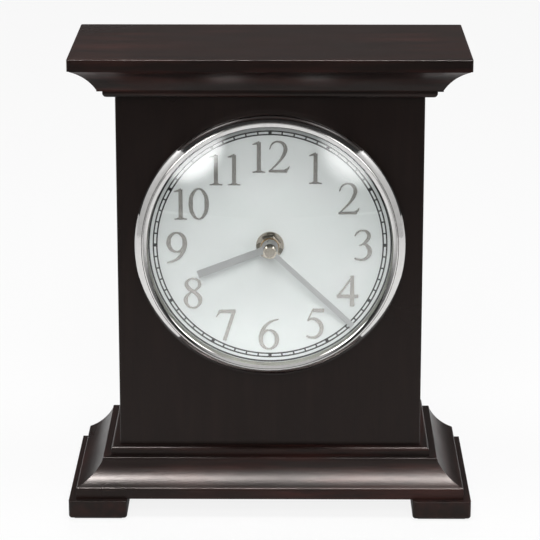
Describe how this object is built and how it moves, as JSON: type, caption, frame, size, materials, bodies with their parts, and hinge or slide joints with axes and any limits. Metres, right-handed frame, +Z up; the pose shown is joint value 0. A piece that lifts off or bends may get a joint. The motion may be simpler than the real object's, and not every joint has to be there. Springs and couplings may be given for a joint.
{
  "type": "mantel clock",
  "caption": "Flat-topped mantel clock in a moulded black wooden case, with a round glazed dial, two hands, a battery chime movement and a hinged back door.",
  "frame": {"origin": "middle of the clock's box, on the surface it stands on", "axes": "+Z up, the dial faces -Y, +X to the right as seen from the front"},
  "size_m": [0.2204, 0.1092, 0.2554],
  "materials": {
    "black_wood": "black stained with a satin lacquer",
    "stained_board": "black stained fibre board, unpolished",
    "felt": "black felt",
    "polished_steel": "polished",
    "dial_glass": "clear, convex",
    "satin_ring": "satin warm grey",
    "silver_dial": "fine satin silver white",
    "backing_board": "plain fibre board",
    "zinc_steel": "bright zinc plate",
    "hand_metal": "brushed",
    "warm_nickel": "polished warm nickel",
    "bright_brass": "bright",
    "hinge_brass": "lacquered brass",
    "black_plastic": "moulded, fine spark texture",
    "gear_plastic": "natural nylon",
    "bridge_plastic": "moulded",
    "coil_wire": "enamelled wire",
    "board_laminate": "paper laminate",
    "cell_sleeve": "plain printed sleeve",
    "speaker_steel": "pressed",
    "ferrite": "sintered",
    "cone_paper": "pressed pulp",
    "black_rubber": "soft",
    "catch_plastic": "brown moulded"
  },
  "bodies": {
    "case": {"left_foot": "black_wood", "right_foot": "black_wood", "foot_felts": "felt", "case_floor": "stained_board", "front_panel": "black_wood", "left_side": "black_wood", "right_side": "black_wood", "bottom_rail": "stained_board", "top_rail": "stained_board", "top_board": "black_wood", "base_molding_front": "black_wood", "base_molding_left": "black_wood", "base_molding_right": "black_wood", "crown_front": "black_wood", "crown_left": "black_wood", "crown_right": "black_wood", "bezel": "polished_steel", "lens": "dial_glass", "reflector_ring": "satin_ring", "dial_plate": "silver_dial", "dial_board": "backing_board", "retaining_ring": "zinc_steel", "center_bush": "bright_brass", "rubber_washer": "black_rubber", "dial_washer": "warm_nickel", "dial_nut": "warm_nickel", "movement_front_shell": "black_plastic", "movement_rear_shell": "black_plastic", "movement_screws": "zinc_steel", "battery_contacts": "zinc_steel", "circuit_board": "board_laminate", "coil": "coil_wire", "stator": "zinc_steel", "train_bridge": "bridge_plastic", "speaker_frame": "speaker_steel", "speaker_magnet": "ferrite", "speaker_cone": "cone_paper", "hinge_case_leaves": "hinge_brass", "hinge_pins": "hinge_brass", "case_screws": "hinge_brass", "catch_magnet": "catch_plastic"},
    "back_door": {"back_door": "stained_board", "hinge_door_leaves": "hinge_brass", "door_screws": "hinge_brass", "door_knob": "hinge_brass", "catch_strike": "zinc_steel"},
    "minute_hand": {"minute_hand": "hand_metal", "hand_nut": "warm_nickel", "minute_arbor": "bright_brass"},
    "hour_hand": {"hour_hand": "hand_metal", "hour_wheel": "gear_plastic"},
    "minute_wheel": {"minute_wheel": "gear_plastic"},
    "setting_knob": {"setting_knob": "black_plastic"},
    "rotor": {"rotor": "zinc_steel"},
    "second_wheel": {"second_wheel": "gear_plastic"},
    "third_wheel": {"third_wheel": "gear_plastic"},
    "center_wheel": {"center_wheel": "gear_plastic"},
    "battery": {"battery": "cell_sleeve"},
    "chime_switch": {"chime_switch": "black_plastic"},
    "volume_switch": {"volume_switch": "black_plastic"}
  },
  "joints": [
    {"name": "door_hinge", "type": "hinge", "parent": "case", "child": "back_door", "pos_m": [-0.0707, 0.0516, 0.1314], "axis": [0, 0, 1], "range_deg": [0, 110]},
    {"name": "minute_hand_turn", "type": "hinge", "parent": "case", "child": "minute_hand", "pos_m": [0, -0.0274, 0.1502], "axis": [0, 1, 0], "continuous": true},
    {"name": "hour_hand_turn", "type": "hinge", "parent": "case", "child": "hour_hand", "pos_m": [0, -0.0274, 0.1502], "axis": [0, 1, 0], "continuous": true},
    {"name": "minute_wheel_turn", "type": "hinge", "parent": "case", "child": "minute_wheel", "pos_m": [0.006, -0.0274, 0.13981], "axis": [0, 1, 0], "continuous": true},
    {"name": "setting_knob_turn", "type": "hinge", "parent": "case", "child": "setting_knob", "pos_m": [0.006, -0.0274, 0.12781], "axis": [0, 1, 0], "continuous": true},
    {"name": "rotor_turn", "type": "hinge", "parent": "case", "child": "rotor", "pos_m": [0.01429, -0.0274, 0.15992], "axis": [0, 1, 0], "continuous": true},
    {"name": "second_wheel_turn", "type": "hinge", "parent": "case", "child": "second_wheel", "pos_m": [0.00888, -0.0274, 0.16533], "axis": [0, 1, 0], "continuous": true},
    {"name": "third_wheel_turn", "type": "hinge", "parent": "case", "child": "third_wheel", "pos_m": [0, -0.0274, 0.1621], "axis": [0, 1, 0], "continuous": true},
    {"name": "center_wheel_turn", "type": "hinge", "parent": "case", "child": "center_wheel", "pos_m": [0, -0.0274, 0.1502], "axis": [0, 1, 0], "continuous": true},
    {"name": "battery_slide", "type": "slide", "parent": "case", "child": "battery", "axis": [0, 1, 0], "range_m": [0, 0.03]},
    {"name": "chime_switch_slide", "type": "slide", "parent": "case", "child": "chime_switch", "axis": [1, 0, 0], "range_m": [0, 0.006]},
    {"name": "volume_switch_slide", "type": "slide", "parent": "case", "child": "volume_switch", "axis": [1, 0, 0], "range_m": [0, 0.008]}
  ],
  "couplings": [
    {"joint": "hour_hand_turn", "follows": "minute_hand_turn", "ratio": 0.083333},
    {"joint": "minute_wheel_turn", "follows": "minute_hand_turn", "ratio": -0.33333},
    {"joint": "setting_knob_turn", "follows": "minute_hand_turn", "ratio": 1},
    {"joint": "second_wheel_turn", "follows": "rotor_turn", "ratio": -0.13333},
    {"joint": "third_wheel_turn", "follows": "rotor_turn", "ratio": 0.016667},
    {"joint": "center_wheel_turn", "follows": "rotor_turn", "ratio": -0.0022222}
  ]
}
